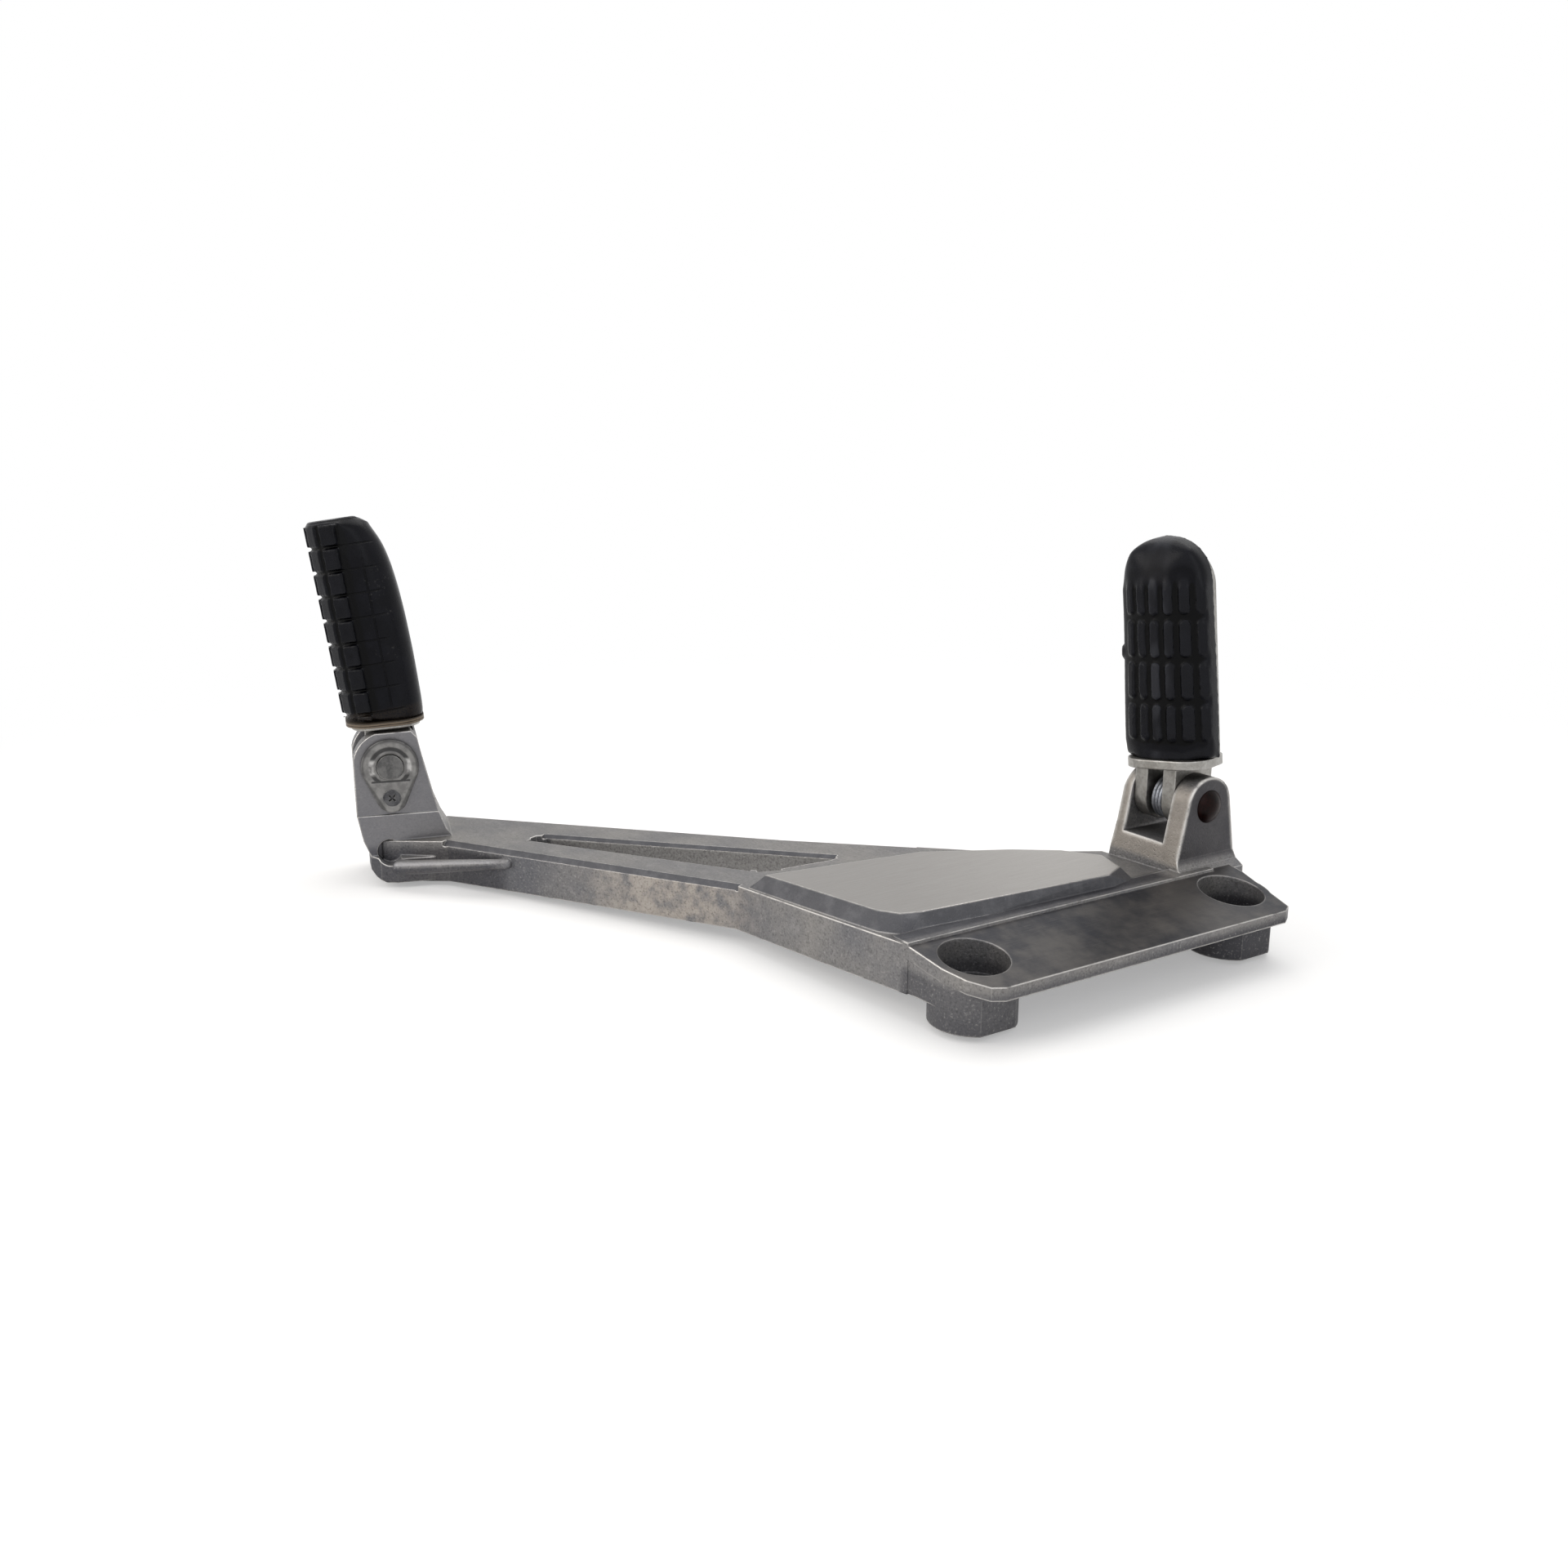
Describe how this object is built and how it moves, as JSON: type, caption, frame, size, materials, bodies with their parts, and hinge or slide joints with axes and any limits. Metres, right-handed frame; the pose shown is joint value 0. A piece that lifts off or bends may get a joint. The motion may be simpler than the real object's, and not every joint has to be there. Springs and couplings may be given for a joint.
{
  "type": "motorcycle footpeg bracket",
  "caption": "Cast bracket with a sprung folding rider peg and a detented folding passenger peg, bolted to a frame through a sloping flange.",
  "frame": {"origin": "midway between the two mounting holes, on the faces of the mounting bosses", "axes": "+Z outboard, along the mounting holes and roughly along the pegs; +Y along the row of holes, towards the rider peg; +X from the arm to the free edge of the flange"},
  "size_m": [0.3246, 0.2972, 0.1625],
  "materials": {
    "casting": "cast, with a brushed pad",
    "peg_alloy": "cast",
    "peg_rubber": "moulded",
    "dark_steel": "dull",
    "zinc_steel": "zinc plated",
    "rusty_pin": "rusted",
    "spring_steel": "drawn wire",
    "bronze_plate": "tarnished"
  },
  "bodies": {
    "bracket": {"bracket": "casting", "rider_pivot_pin": "rusty_pin", "rider_pin_washer": "zinc_steel", "rider_split_pin": "zinc_steel", "rider_spring_sleeve": "dark_steel", "rider_return_spring": "spring_steel", "passenger_pivot_pin": "zinc_steel", "passenger_lock_plate": "zinc_steel", "passenger_lock_screw": "dark_steel", "passenger_detent_ball": "zinc_steel", "passenger_detent_spring": "spring_steel", "passenger_thrust_washer": "zinc_steel"},
    "rider_peg": {"rider_peg_core": "peg_alloy", "rider_peg_rubber": "peg_rubber", "rider_rubber_screws": "dark_steel", "rider_screw_washers": "zinc_steel"},
    "passenger_peg": {"passenger_peg_core": "peg_alloy", "passenger_peg_rubber": "peg_rubber", "passenger_base_plate": "bronze_plate", "passenger_rubber_bolt": "dark_steel", "passenger_bolt_washer": "zinc_steel"}
  },
  "joints": [
    {"name": "rider_peg_fold", "type": "hinge", "parent": "bracket", "child": "rider_peg", "pos_m": [-0.0405, 0.0725, 0.0513], "axis": [1, 0, 0], "range_deg": [0, 75], "stiffness_Nm_per_rad": 0.3, "springref_deg": -51.57, "deforming": ["rider_return_spring"]},
    {"name": "passenger_peg_fold", "type": "hinge", "parent": "bracket", "child": "passenger_peg", "pos_m": [-0.27596, -0.18045, 0.0518], "axis": [0.9632, -0.2689, 0], "range_deg": [0, 85]}
  ]
}
